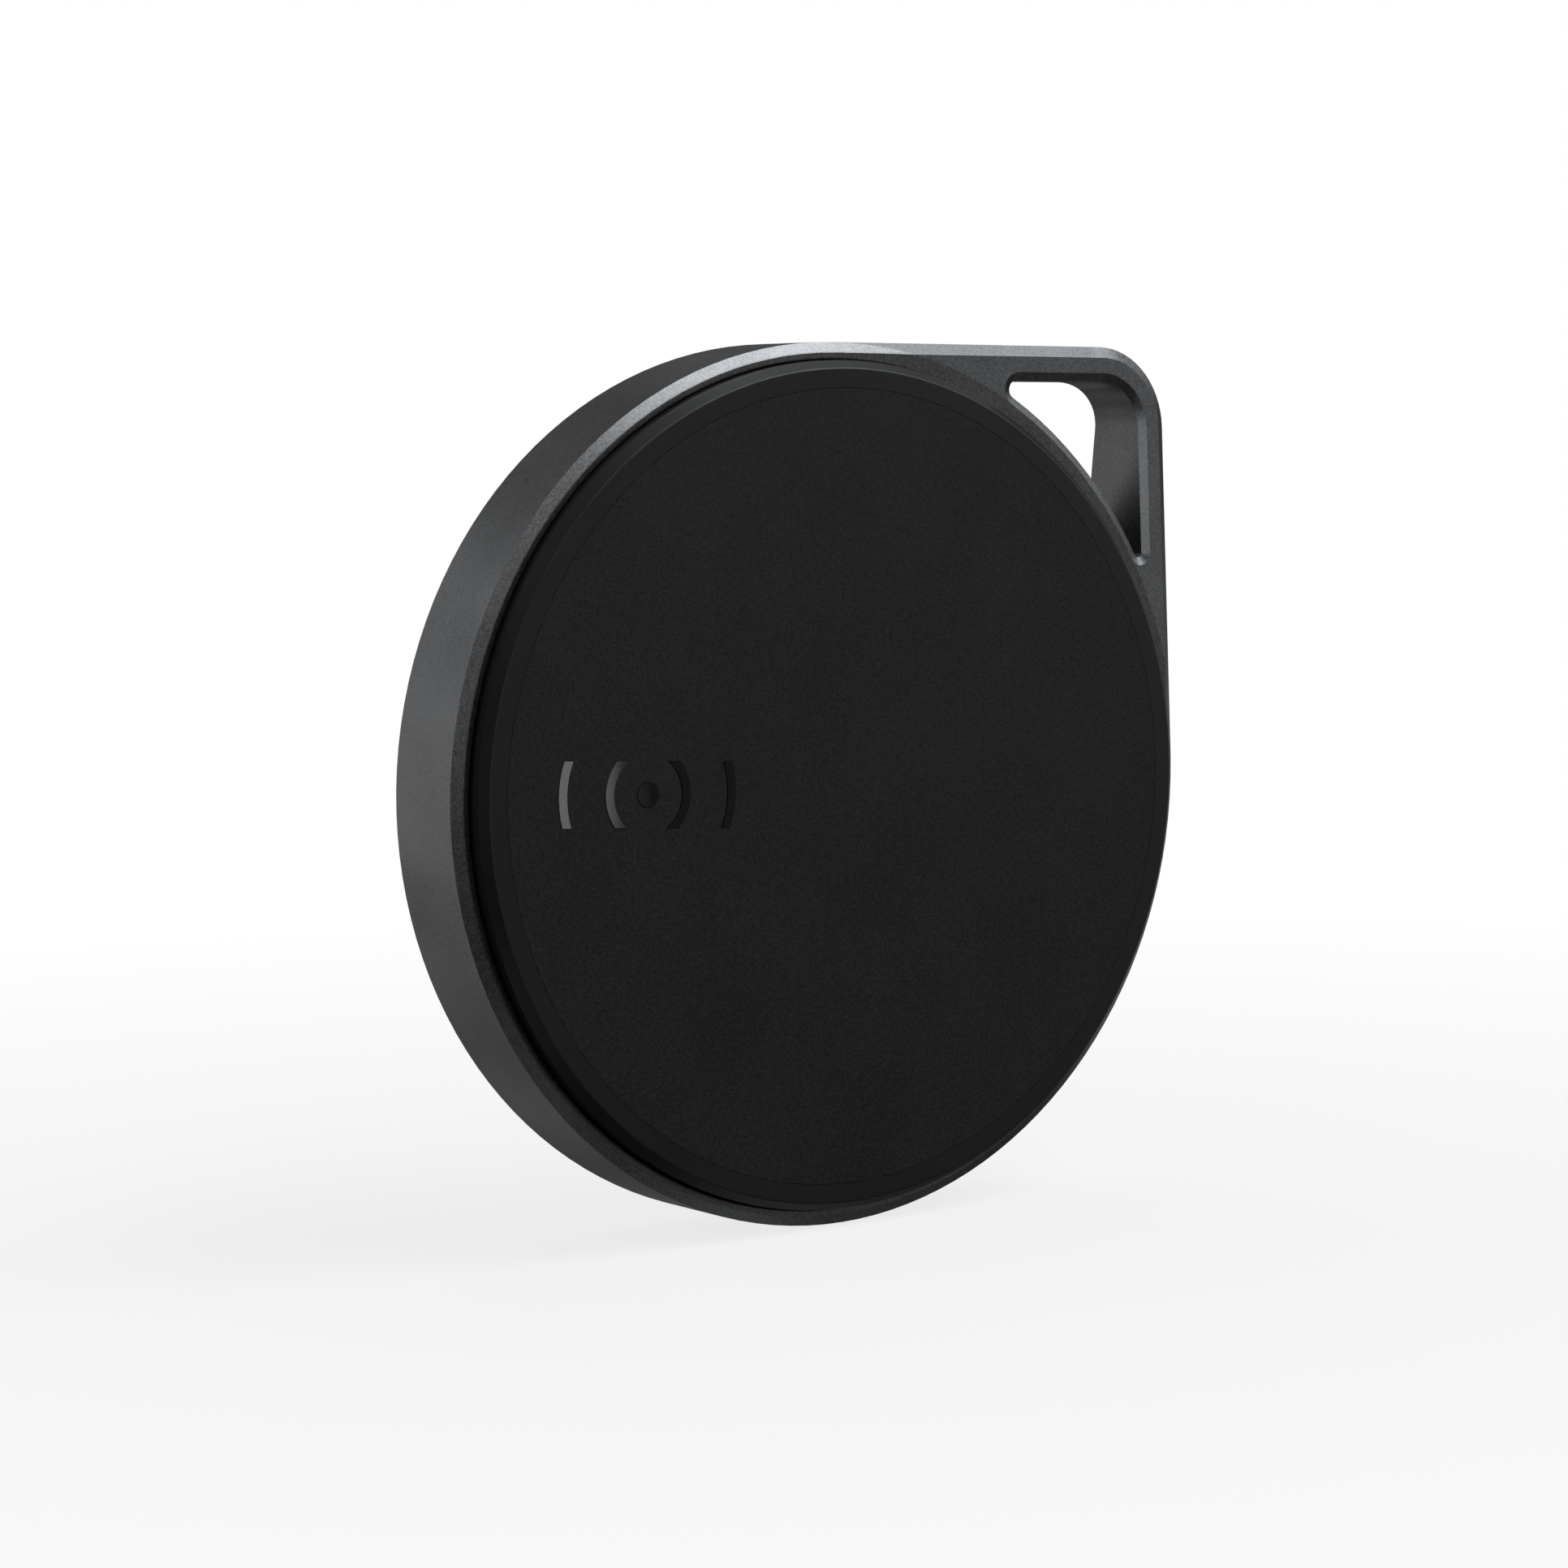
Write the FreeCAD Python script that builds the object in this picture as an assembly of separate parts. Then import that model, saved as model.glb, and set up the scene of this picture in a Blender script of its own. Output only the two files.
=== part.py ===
import FreeCAD, Part
import math
import os

from FreeCAD import Vector

# A key-ring tracker tag: a round metal frame with a square-cornered ear, a pressing front cover
# and a twist-off battery cover behind.
# Millimetres. The axis of the round body is Y, through the origin at the middle of its thickness.
# The front is towards -Y, the rear towards +Y, +Z is up, and the ear points to +X +Z.
# A place round the axis is an angle in degrees from +X towards +Z.

# ---- driving dimensions: outside -------------------------------------------------------------
BODY_RADIUS = 20.0          # outer wall of the frame
SHOULDER = 2.29             # half thickness of the frame's outer wall
RIM_FACE = 2.64             # half thickness of the rim inside its chamfers, and the ear's front face
CHAMFER_WIDTH = 0.51        # one chamfer runs round the whole outline, ear and all
COLLAR_SLOPE = 0.05         # inside the body radius, the frame's faces sink towards the recess
COLLAR_ROUND = 0.10         # and are rounded off at its edge
COVER_FACE = 3.60           # half thickness of the whole tag
COVER_EDGE = 3.15           # where a cover's side wall ends and its bevel begins
COVER_RADIUS = 19.18        # side wall of both covers
COVER_FACE_RADIUS = 18.81   # where the bevel meets the flat face
COVER_ROUND = 0.10          # both edges of each cover's bevel are rounded off
RECESS_RADIUS = 19.22       # wall of the recess round each cover
COVER_PLATE = 1.03          # thickness of each cover's plate

EAR_TILT = 1.25             # each side of the ear leaves the body this far off square
EAR_CORNER_RADIUS = 3.90
SLOT_INSET = 1.61           # thickness of the ear's two bars at the slot
SLOT_INNER_RADIUS = 20.33   # the slot's side along the round body
SLOT_TOP_RADIUS = 0.43      # its small corner by the body's top
SLOT_TIP_RADIUS = 0.21      # its small corner by the body's right
SLOT_FLARE = 0.38           # how much wider it is at its front mouth
SLOT_FLARE_DEPTH = 0.19     # and how deep that flare goes
EAR_REAR = 2.00             # the ear's rear face, where it leaves the round body
EAR_TAPER = 0.25            # from there it slopes forwards, so the ear thins towards its corner
EAR_REAR_CHAMFER = 0.25     # round the ear and its slot, at the rear

# ---- driving dimensions: inside --------------------------------------------------------------
BORE_RADIUS = 18.0
GROOVE_INNER_RADIUS = 18.3  # the front cover's skirt runs between here and the recess wall
GROOVE_FLOOR = -1.30
FLANGE_RADIUS = 17.0
FLANGE_FRONT = -2.05
BOARD_FRONT = -1.60
BOARD_REAR = -1.00
CHASSIS_RADIUS = 17.9
REAR_LEDGE = 1.45

PRESS_TRAVEL = 0.20         # how far the front cover presses in
PRESS_STOP_GAP = 0.05       # play between its hooks and the flange

CELL_RADIUS = 10.0          # a 20 x 3.2 mm coin cell
CELL_FRONT = -0.75
CELL_REAR = 2.45

SCREW_ANGLES = (90, 210, 330)
HOOK_ANGLES = (50, 170, 290)
LUG_ANGLES = (30, 150, 270)
POSITIVE_CONTACT_ANGLES = (0, 180)
SCREW_CIRCLE = 15.2
TWIST_ANGLE = 25            # the battery cover turns this far, towards smaller angles, to come free

BUZZER_ANGLE = 250
BUZZER_CIRCLE = 14.0
BUZZER_RADIUS = 3.0

ORIGIN = Vector(0, 0, 0)
REARWARD = Vector(0, 1, 0)


# ---- helpers ---------------------------------------------------------------------------------
def polar(radius, angle):
    """The x and z of a place on a circle round the axis."""
    turn = math.radians(angle)
    return radius * math.cos(turn), radius * math.sin(turn)


def disc(radius, front, rear, x=0.0, z=0.0):
    """A cylinder along the axis from y = front to y = rear."""
    return Part.makeCylinder(radius, rear - front, Vector(x, front, z), REARWARD)


def ring(outer, inner, front, rear, x=0.0, z=0.0):
    return disc(outer, front, rear, x, z).cut(disc(inner, front, rear, x, z))


def block(low, high):
    """A box between two opposite corners."""
    size = [high[axis] - low[axis] for axis in range(3)]
    return Part.makeBox(size[0], size[1], size[2], Vector(*low))


def rounded_corner(before, corner, after, radius):
    """The start, middle and end of the arc that rounds off a corner between two points."""
    to_before = (before - corner).normalize()
    to_after = (after - corner).normalize()
    half_angle = to_before.getAngle(to_after) / 2
    inward = (to_before + to_after).normalize()
    along = radius / math.tan(half_angle)
    middle = corner + inward * (radius / math.sin(half_angle) - radius)
    return corner + to_before * along, middle, corner + to_after * along


def turned(profile):
    """A body turned round the axis from a closed outline of (radius, y) points.

    A third number at a point rounds that corner off by so much.
    """
    corners = [Vector(place[0], place[1], 0) for place in profile]
    arcs = []
    for index, place in enumerate(profile):
        corner = corners[index]
        if len(place) == 3:
            after = corners[(index + 1) % len(corners)]
            arcs.append(rounded_corner(corners[index - 1], corner, after, place[2]))
        else:
            arcs.append((corner, corner, corner))
    edges = []
    for index, (start, middle, end) in enumerate(arcs):
        edges.append(Part.makeLine(arcs[index - 1][2], start))
        if start != end:
            edges.append(Part.Arc(start, middle, end).toShape())
    return Part.Face(Part.Wire(edges)).revolve(ORIGIN, REARWARD, 360)


def placed(shape, angle):
    """The shape, made at angle 0 on the +X side, turned to an angle round the axis."""
    copy = shape.copy()
    copy.rotate(ORIGIN, REARWARD, -angle)
    return copy


def placed_at_all(shape, angles):
    return [placed(shape, angle) for angle in angles]


def sector(outer, inner, front, rear, middle, half_width):
    """A piece of a ring that spans half_width degrees each side of its middle angle."""
    whole = ring(outer, inner, front, rear)
    reach = outer * 1.5
    corners = [polar(reach, middle + side * half_width) for side in (-1, 1)]
    points = [Vector(0, front, 0)] + [Vector(x, front, z) for x, z in corners]
    wedge = Part.Face(Part.makePolygon(points + points[:1])).extrude(Vector(0, rear - front, 0))
    return whole.common(wedge)


def joined(shape, others):
    return shape.fuse(others).removeSplitter()


# ---- outline of the ear and its slot ---------------------------------------------------------
def side_normal(tilted_from_z):
    """Unit normal of the ear's top side, or of its right side."""
    angle = 90 - EAR_TILT if tilted_from_z else EAR_TILT
    return polar(1.0, angle)


def ear_corner(inset):
    """Where the ear's two sides would meet, if both were moved in by inset."""
    normal_x, normal_z = side_normal(True)
    reach = (BODY_RADIUS - inset) / (normal_x + normal_z)
    return reach, reach


def ear_outline(inset, y):
    """The ear's outline, moved in by inset, closed through the round body."""
    distance = BODY_RADIUS - inset
    radius = EAR_CORNER_RADIUS - inset
    top = side_normal(True)
    right = side_normal(False)
    centre = ear_corner(inset + radius)[0]
    start = Vector(top[0] * distance, y, top[1] * distance)
    end = Vector(right[0] * distance, y, right[1] * distance)
    arc_start = Vector(centre + top[0] * radius, y, centre + top[1] * radius)
    arc_end = Vector(centre + right[0] * radius, y, centre + right[1] * radius)
    arc_middle = Vector(centre + radius * math.sqrt(0.5), y, centre + radius * math.sqrt(0.5))
    root = Vector(BODY_RADIUS * 0.6, y, BODY_RADIUS * 0.6)
    edges = [
        Part.makeLine(start, arc_start),
        Part.Arc(arc_start, arc_middle, arc_end).toShape(),
        Part.makeLine(arc_end, end),
        Part.makeLine(end, root),
        Part.makeLine(root, start),
    ]
    return Part.Wire(edges)


def slot_corner(distance, inner, radius):
    """A small corner of the slot: where it leaves the round side, its middle, and the top side."""
    top = side_normal(True)
    off_side = distance - radius
    along = math.sqrt((inner + radius) ** 2 - off_side ** 2)
    centre = (top[0] * off_side + top[1] * along, top[1] * off_side - top[0] * along)
    to_centre = math.hypot(centre[0], centre[1])
    on_round = (centre[0] * inner / to_centre, centre[1] * inner / to_centre)
    on_side = (centre[0] + top[0] * radius, centre[1] + top[1] * radius)
    between = (on_round[0] + on_side[0] - 2 * centre[0], on_round[1] + on_side[1] - 2 * centre[1])
    bulge = radius / math.hypot(between[0], between[1])
    middle = (centre[0] + between[0] * bulge, centre[1] + between[1] * bulge)
    return on_round, middle, on_side


def slot_outline(grow, y):
    """The key-ring slot's outline, moved out by grow from its straight wall."""
    distance = BODY_RADIUS - SLOT_INSET + grow
    inner = SLOT_INNER_RADIUS - grow
    large = EAR_CORNER_RADIUS - SLOT_INSET + grow
    centre = ear_corner(BODY_RADIUS - distance + large)[0]
    top = side_normal(True)
    right = side_normal(False)

    def point(place):
        return Vector(place[0], y, place[1])

    def mirrored(place):
        return Vector(place[1], y, place[0])

    round_start, top_middle, top_end = map(point, slot_corner(distance, inner, SLOT_TOP_RADIUS + grow))
    round_end, tip_middle, tip_end = map(mirrored, slot_corner(distance, inner, SLOT_TIP_RADIUS + grow))
    large_start = point((centre + top[0] * large, centre + top[1] * large))
    large_middle = point((centre + large * math.sqrt(0.5),) * 2)
    large_end = point((centre + right[0] * large, centre + right[1] * large))
    round_middle = point((inner * math.sqrt(0.5),) * 2)
    edges = [
        Part.Arc(round_start, top_middle, top_end).toShape(),
        Part.makeLine(top_end, large_start),
        Part.Arc(large_start, large_middle, large_end).toShape(),
        Part.makeLine(large_end, tip_end),
        Part.Arc(tip_end, tip_middle, round_end).toShape(),
        Part.Arc(round_end, round_middle, round_start).toShape(),
    ]
    return Part.Wire(edges)


def between_outlines(first, second):
    return Part.makeLoft([first, second], True, True)


# ---- frame -----------------------------------------------------------------------------------
CHAMFER_SLOPE = (RIM_FACE - SHOULDER) / CHAMFER_WIDTH

# Round the body, the chamfer ends where it meets the sloping collar.
CHAMFER_END_RADIUS = BODY_RADIUS - (RIM_FACE - SHOULDER) / (CHAMFER_SLOPE + COLLAR_SLOPE)


def collar_height(radius):
    """Half thickness of the frame where its faces slope down towards the recess."""
    return RIM_FACE - (BODY_RADIUS - radius) * COLLAR_SLOPE


def ear_rear(x, z):
    """How far back the ear reaches, at a place on its rear face."""
    outwards = (x + z) * math.sqrt(0.5)
    return min(SHOULDER, EAR_REAR - (outwards - BODY_RADIUS) * EAR_TAPER)


def make_taper_cutter():
    """The space behind the ear's sloping rear face."""
    near = BODY_RADIUS * 0.8
    far = BODY_RADIUS * 1.5
    behind = BODY_RADIUS * 0.5
    ends = [(reach, EAR_REAR - (reach - BODY_RADIUS) * EAR_TAPER) for reach in (near, far)]
    corners = [(near, behind)] + ends + [(far, behind), (near, behind)]
    side = Part.makePolygon([Vector(reach, y, -BODY_RADIUS) for reach, y in corners])
    wedge = Part.Face(side).extrude(Vector(0, 0, 2 * BODY_RADIUS))
    wedge.rotate(Vector(0, 0, 0), REARWARD, -45)
    return wedge


def is_rear_edge(edge):
    """Whether an edge runs round the ear or its slot, on the ear's rear face."""
    middle = (edge.FirstParameter + edge.LastParameter) / 2
    points = [edge.valueAt(place) for place in (edge.FirstParameter, middle, edge.LastParameter)]
    outside = all(math.hypot(point.x, point.z) > BODY_RADIUS - 0.01 for point in points)
    return outside and all(abs(point.y - ear_rear(point.x, point.z)) < 1e-6 for point in points)


def make_ear():
    """The ear with its slot: chamfered round its front outline, tapered and chamfered at the rear."""
    plate = Part.Face(ear_outline(0, -SHOULDER)).extrude(Vector(0, 2 * SHOULDER, 0))
    chamfer = between_outlines(ear_outline(0, -SHOULDER), ear_outline(CHAMFER_WIDTH, -RIM_FACE))
    ear = joined(plate, [chamfer]).cut([make_slot_cutter(), make_taper_cutter()])
    return ear.makeChamfer(EAR_REAR_CHAMFER, [edge for edge in ear.Edges if is_rear_edge(edge)])


def make_collar_cutter():
    """The space over the sloping collar, where the ear's face runs on over the round body."""
    inner = CHAMFER_END_RADIUS - 0.1
    return turned([
        (inner, -RIM_FACE - 0.5),
        (BODY_RADIUS, -RIM_FACE - 0.5),
        (BODY_RADIUS, -RIM_FACE),
        (inner, -collar_height(inner)),
    ])


def make_slot_cutter():
    """The space of the key-ring slot, flared at its front mouth."""
    flare_end = SLOT_FLARE_DEPTH - RIM_FACE
    mouth = slot_outline(SLOT_FLARE, -RIM_FACE)
    wall = Part.Face(slot_outline(0, flare_end)).extrude(Vector(0, SHOULDER + 1.0 - flare_end, 0))
    return wall.fuse([
        between_outlines(slot_outline(0, flare_end), mouth),
        Part.Face(mouth).extrude(Vector(0, -1.0, 0)),
    ])


def make_screw_lugs():
    """Three tabs on the frame's inner flange, each with a counterbored screw hole."""
    tab = disc(1.5, FLANGE_FRONT, BOARD_FRONT, SCREW_CIRCLE, 0)
    tab = tab.fuse(block((SCREW_CIRCLE, FLANGE_FRONT, -1.5), (FLANGE_RADIUS + 0.3, BOARD_FRONT, 1.5)))
    return placed_at_all(tab, SCREW_ANGLES)


def make_rim():
    """The round part of the frame, with a narrow collar round each cover's recess."""
    chamfer_end = collar_height(CHAMFER_END_RADIUS)
    collar_edge = collar_height(RECESS_RADIUS)
    return turned([
        (RECESS_RADIUS, -collar_edge, COLLAR_ROUND),
        (CHAMFER_END_RADIUS, -chamfer_end),
        (BODY_RADIUS, -SHOULDER),
        (BODY_RADIUS, SHOULDER),
        (CHAMFER_END_RADIUS, chamfer_end),
        (RECESS_RADIUS, collar_edge, COLLAR_ROUND),
        (RECESS_RADIUS, REAR_LEDGE),
        (BORE_RADIUS, REAR_LEDGE),
        (BORE_RADIUS, BOARD_FRONT),
        (FLANGE_RADIUS, BOARD_FRONT),
        (FLANGE_RADIUS, FLANGE_FRONT),
        (GROOVE_INNER_RADIUS, FLANGE_FRONT),
        (GROOVE_INNER_RADIUS, GROOVE_FLOOR),
        (RECESS_RADIUS, GROOVE_FLOOR),
    ])


def make_frame():
    bore = disc(CHAMFER_END_RADIUS, -RIM_FACE, RIM_FACE)
    ear = make_ear().cut([bore, make_collar_cutter()])
    frame = joined(make_rim(), [ear] + make_screw_lugs())
    hole = disc(0.65, FLANGE_FRONT, BOARD_FRONT, SCREW_CIRCLE, 0)
    counterbore = disc(1.2, FLANGE_FRONT, -1.85, SCREW_CIRCLE, 0)
    return frame.cut(placed_at_all(hole.fuse(counterbore), SCREW_ANGLES))


# ---- front cover and what moves with it ------------------------------------------------------
PAD_RADIUS = 17.95
PAD_THICKNESS = 0.30
MARK_MIDDLE = (-10.75, 0.4)
MARK_TILT = 3.5             # its right end is lower
MARK_DEPTH = 0.12
MARK_LINE = 0.42
MARK_ARC_RADII = (2.0, 4.4)


def make_mark(front, rear, gap):
    """A dot between pairs of arcs, as a plain beacon sign. gap widens it into its pocket."""
    x, z = MARK_MIDDLE
    pieces = [disc(0.55 + gap, front, rear, x, z)]
    for radius in MARK_ARC_RADII:
        half = MARK_LINE / 2 + gap
        arc = ring(radius + half, radius - half, front, rear, x, z)
        height = 1.45 + gap
        for side in (-1, 1):
            ends = sorted((x, x + side * 10))
            pieces.append(arc.common(block((ends[0], front, z - height), (ends[1], rear, z + height))))
    for piece in pieces:
        piece.rotate(Vector(x, 0, z), REARWARD, MARK_TILT)
    return pieces


def make_hook():
    """A snap hook behind the front cover, which catches under the frame's flange."""
    catch = BOARD_FRONT + PRESS_STOP_GAP
    end = BOARD_REAR - PRESS_TRAVEL - 0.05
    leg = block((16.1, -COVER_FACE + COVER_PLATE, -1.5), (16.8, end, 1.5))
    barb = block((16.8, catch, -1.5), (17.25, end, 1.5))
    return leg.fuse(barb)


def make_front_cover():
    underside = -COVER_FACE + COVER_PLATE
    skirt_end = -1.85
    cover = turned([
        (0, -COVER_FACE),
        (COVER_FACE_RADIUS, -COVER_FACE, COVER_ROUND),
        (COVER_RADIUS, -COVER_EDGE, COVER_ROUND),
        (COVER_RADIUS, skirt_end),
        (GROOVE_INNER_RADIUS + 0.08, skirt_end),
        (GROOVE_INNER_RADIUS + 0.08, underside),
        (0, underside),
    ])
    cover = joined(cover, placed_at_all(make_hook(), HOOK_ANGLES))
    return cover.cut(disc(PAD_RADIUS, -COVER_FACE, -COVER_FACE + PAD_THICKNESS))


def make_front_pad():
    """The fine-grained pad let into the front cover, with a pocket for the mark."""
    pad = disc(PAD_RADIUS - 0.02, -COVER_FACE, -COVER_FACE + PAD_THICKNESS)
    return pad.cut(make_mark(-COVER_FACE, -COVER_FACE + MARK_DEPTH, 0.02))


def make_beacon_mark():
    return Part.makeCompound(make_mark(-COVER_FACE - 0.03, -COVER_FACE + MARK_DEPTH, 0.0))


def make_button_plunger():
    """The soft nub under the front cover that presses the switch's dome."""
    underside = -COVER_FACE + COVER_PLATE
    return turned([(0, underside), (2.2, underside), (2.0, -2.35), (1.1, -2.30), (1.0, -2.07), (0, -2.07)])


def make_cover_gasket():
    """A foam ring in the groove, squeezed as the front cover goes in."""
    return ring(RECESS_RADIUS - 0.12, GROOVE_INNER_RADIUS + 0.12, -1.85, GROOVE_FLOOR)


# ---- switch and circuit board ----------------------------------------------------------------
SWITCH_HALF = 2.6
SWITCH_FRONT = -1.85
DOME_RIM = -1.72
DOME_TOP = -2.05
DOME_RADIUS = 2.0
DOME_SHEET = 0.06


def make_switch_base():
    base = block((-SWITCH_HALF, SWITCH_FRONT, -SWITCH_HALF), (SWITCH_HALF, BOARD_FRONT, SWITCH_HALF))
    return base.cut(disc(DOME_RADIUS + 0.1, SWITCH_FRONT, DOME_RIM))


def make_switch_dome():
    """A shallow spherical snap dome."""
    rise = DOME_RIM - DOME_TOP
    sphere_radius = (DOME_RADIUS ** 2 + rise ** 2) / (2 * rise)
    centre = Vector(0, DOME_TOP + sphere_radius, 0)
    shell = Part.makeSphere(sphere_radius, centre).cut(Part.makeSphere(sphere_radius - DOME_SHEET, centre))
    return shell.common(disc(DOME_RADIUS + 1, DOME_TOP - 1, DOME_RIM))


def make_circuit_board():
    board = disc(CHASSIS_RADIUS, BOARD_FRONT, BOARD_REAR)
    notch = block((15.8, BOARD_FRONT, -1.8), (18.5, BOARD_REAR, 1.8))
    screw_hole = disc(0.7, BOARD_FRONT, BOARD_REAR, SCREW_CIRCLE, 0)
    board = board.cut(placed_at_all(notch, HOOK_ANGLES))
    return board.cut(placed_at_all(screw_hole, SCREW_ANGLES))


# component: middle circle, angle, size along the radius, size across it, height
BLUETOOTH_CHIP = (13.9, 125, 5.0, 5.0, 0.85)
MOTION_SENSOR = (13.2, 70, 2.0, 2.0, 0.9)
CHIP_ANTENNA = (15.4, 31, 2.0, 7.0, 0.9)
CRYSTALS = ((13.2, 105, 2.0, 1.6, 0.5), (14.6, 143, 1.5, 3.2, 0.75))
CHIP_PARTS = (
    (12.6, 57, 1.0, 0.5, 0.5), (12.6, 51, 1.0, 0.5, 0.5), (12.6, 45, 1.0, 0.5, 0.5),
    (13.0, 20, 0.8, 1.6, 0.8), (13.2, 350, 0.8, 1.6, 0.8), (14.8, 344, 1.0, 0.5, 0.5),
    (12.4, 158, 1.0, 0.5, 0.5), (12.4, 164, 1.0, 0.5, 0.5), (13.4, 192, 1.2, 2.0, 1.0),
    (12.6, 222, 1.0, 0.5, 0.5), (12.6, 228, 1.0, 0.5, 0.5), (13.2, 305, 2.0, 1.2, 0.9),
)
PART_CLEARANCE = 0.25


def on_board(component, clearance=0.0):
    """A component standing on the rear of the board."""
    circle, angle, along, across, height = component
    low = (circle - along / 2 - clearance, BOARD_REAR, -across / 2 - clearance)
    high = (circle + along / 2 + clearance, BOARD_REAR + height + clearance, across / 2 + clearance)
    return placed(block(low, high), angle)


def make_negative_contact():
    """A leaf under the cell's middle: soldered at one end, sprung at the other."""
    sheet = 0.10
    path = [(-5.0, BOARD_REAR), (-2.5, BOARD_REAR), (3.0, CELL_FRONT - sheet), (4.5, CELL_FRONT - sheet)]
    front = [Vector(x, y, -1.0) for x, y in path]
    rear = [point + Vector(0, sheet, 0) for point in reversed(front)]
    leaf = Part.Face(Part.makePolygon(front + rear + front[:1]))
    return leaf.extrude(Vector(0, 0, 2.0))


def make_positive_contacts():
    """Two fingers that press on the cell's side, on feet soldered to the board."""
    sheet = 0.12
    finger_radius = CELL_RADIUS + 0.02
    outline = [
        (finger_radius, 1.55),
        (finger_radius, BOARD_REAR),
        (12.6, BOARD_REAR),
        (12.6, BOARD_REAR + sheet),
        (finger_radius + sheet, BOARD_REAR + sheet),
        (finger_radius + sheet, 1.50),
        (finger_radius + 0.32, 1.75),
        (finger_radius + 0.22, 1.83),
    ]
    points = [Vector(x, y, -1.1) for x, y in outline]
    finger = Part.Face(Part.makePolygon(points + points[:1])).extrude(Vector(0, 0, 2.2))
    return Part.makeCompound(placed_at_all(finger, POSITIVE_CONTACT_ANGLES))


# ---- coin cell -------------------------------------------------------------------------------
CELL_CAP_RADIUS = 8.8
CELL_SEAL_RADIUS = 9.2
CELL_SEAL_DEPTH = 0.5


def make_cell_can():
    """The cell's positive can, crimped in round the seal at its front."""
    return turned([
        (0, CELL_REAR),
        (CELL_RADIUS - 0.35, CELL_REAR),
        (CELL_RADIUS, CELL_REAR - 0.35),
        (CELL_RADIUS, CELL_FRONT + 0.35),
        (CELL_RADIUS - 0.2, CELL_FRONT + 0.12),
        (CELL_SEAL_RADIUS, CELL_FRONT + 0.12),
        (CELL_SEAL_RADIUS, CELL_SEAL_DEPTH),
        (0, CELL_SEAL_DEPTH),
    ])


def make_cell_cap():
    return turned([
        (0, CELL_FRONT),
        (CELL_CAP_RADIUS - 0.5, CELL_FRONT),
        (CELL_CAP_RADIUS, CELL_FRONT + 0.2),
        (CELL_CAP_RADIUS, CELL_SEAL_DEPTH),
        (0, CELL_SEAL_DEPTH),
    ])


def make_cell_seal():
    return ring(CELL_SEAL_RADIUS, CELL_CAP_RADIUS, CELL_FRONT + 0.16, CELL_SEAL_DEPTH)


# ---- buzzer ----------------------------------------------------------------------------------
BUZZER_REAR = 1.0
BUZZER_FLOOR = BOARD_REAR + 0.3
BUZZER_X, BUZZER_Z = polar(BUZZER_CIRCLE, BUZZER_ANGLE)


def make_buzzer_case():
    case = disc(BUZZER_RADIUS, BOARD_REAR, BUZZER_REAR, BUZZER_X, BUZZER_Z)
    case = case.cut(disc(2.4, BUZZER_FLOOR, 0.35, BUZZER_X, BUZZER_Z))
    case = case.cut(disc(2.6, 0.35, 0.7, BUZZER_X, BUZZER_Z))
    return case.cut(disc(0.7, 0.7, BUZZER_REAR, BUZZER_X, BUZZER_Z))


def make_buzzer_diaphragm():
    return disc(2.55, 0.35, 0.43, BUZZER_X, BUZZER_Z)


def make_buzzer_magnet():
    return ring(2.35, 1.85, BUZZER_FLOOR, 0.10, BUZZER_X, BUZZER_Z)


def make_buzzer_coil():
    return ring(1.70, 0.75, BUZZER_FLOOR, -0.05, BUZZER_X, BUZZER_Z)


def make_buzzer_core():
    return disc(0.70, BUZZER_FLOOR, 0.15, BUZZER_X, BUZZER_Z)


# ---- chassis ---------------------------------------------------------------------------------
CHASSIS_FLOOR = -0.40
CHASSIS_WALL_INNER = 17.35
CUP_INNER = CELL_RADIUS + 0.30
CUP_OUTER = 10.95
LUG_HALF = 8                # half the angle that one bayonet lug spans
LUG_REAR = 1.65
LUG_FRONT = 1.25
LUG_OUTER = 17.10
LEDGE_INNER = 16.75
LEDGE_FRONT = 1.75
LEDGE_REAR = 2.15
LEDGE_HALF = 10
STOP_WIDTH = 0.8            # half the angle that one stop block spans


def make_bayonet(lug_angle):
    """A ledge over one lug's locked place, and a stop block at each end of its travel."""
    ledge = sector(CHASSIS_WALL_INNER + 0.1, LEDGE_INNER, LEDGE_FRONT, LEDGE_REAR, lug_angle, LEDGE_HALF)
    locked = lug_angle + LUG_HALF + 0.6 + STOP_WIDTH
    opened = lug_angle - TWIST_ANGLE - LUG_HALF - 0.6 - STOP_WIDTH
    stops = [
        sector(CHASSIS_WALL_INNER + 0.1, LEDGE_INNER, LUG_FRONT, LEDGE_REAR, angle, STOP_WIDTH)
        for angle in (locked, opened)
    ]
    return ledge.fuse(stops)


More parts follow.
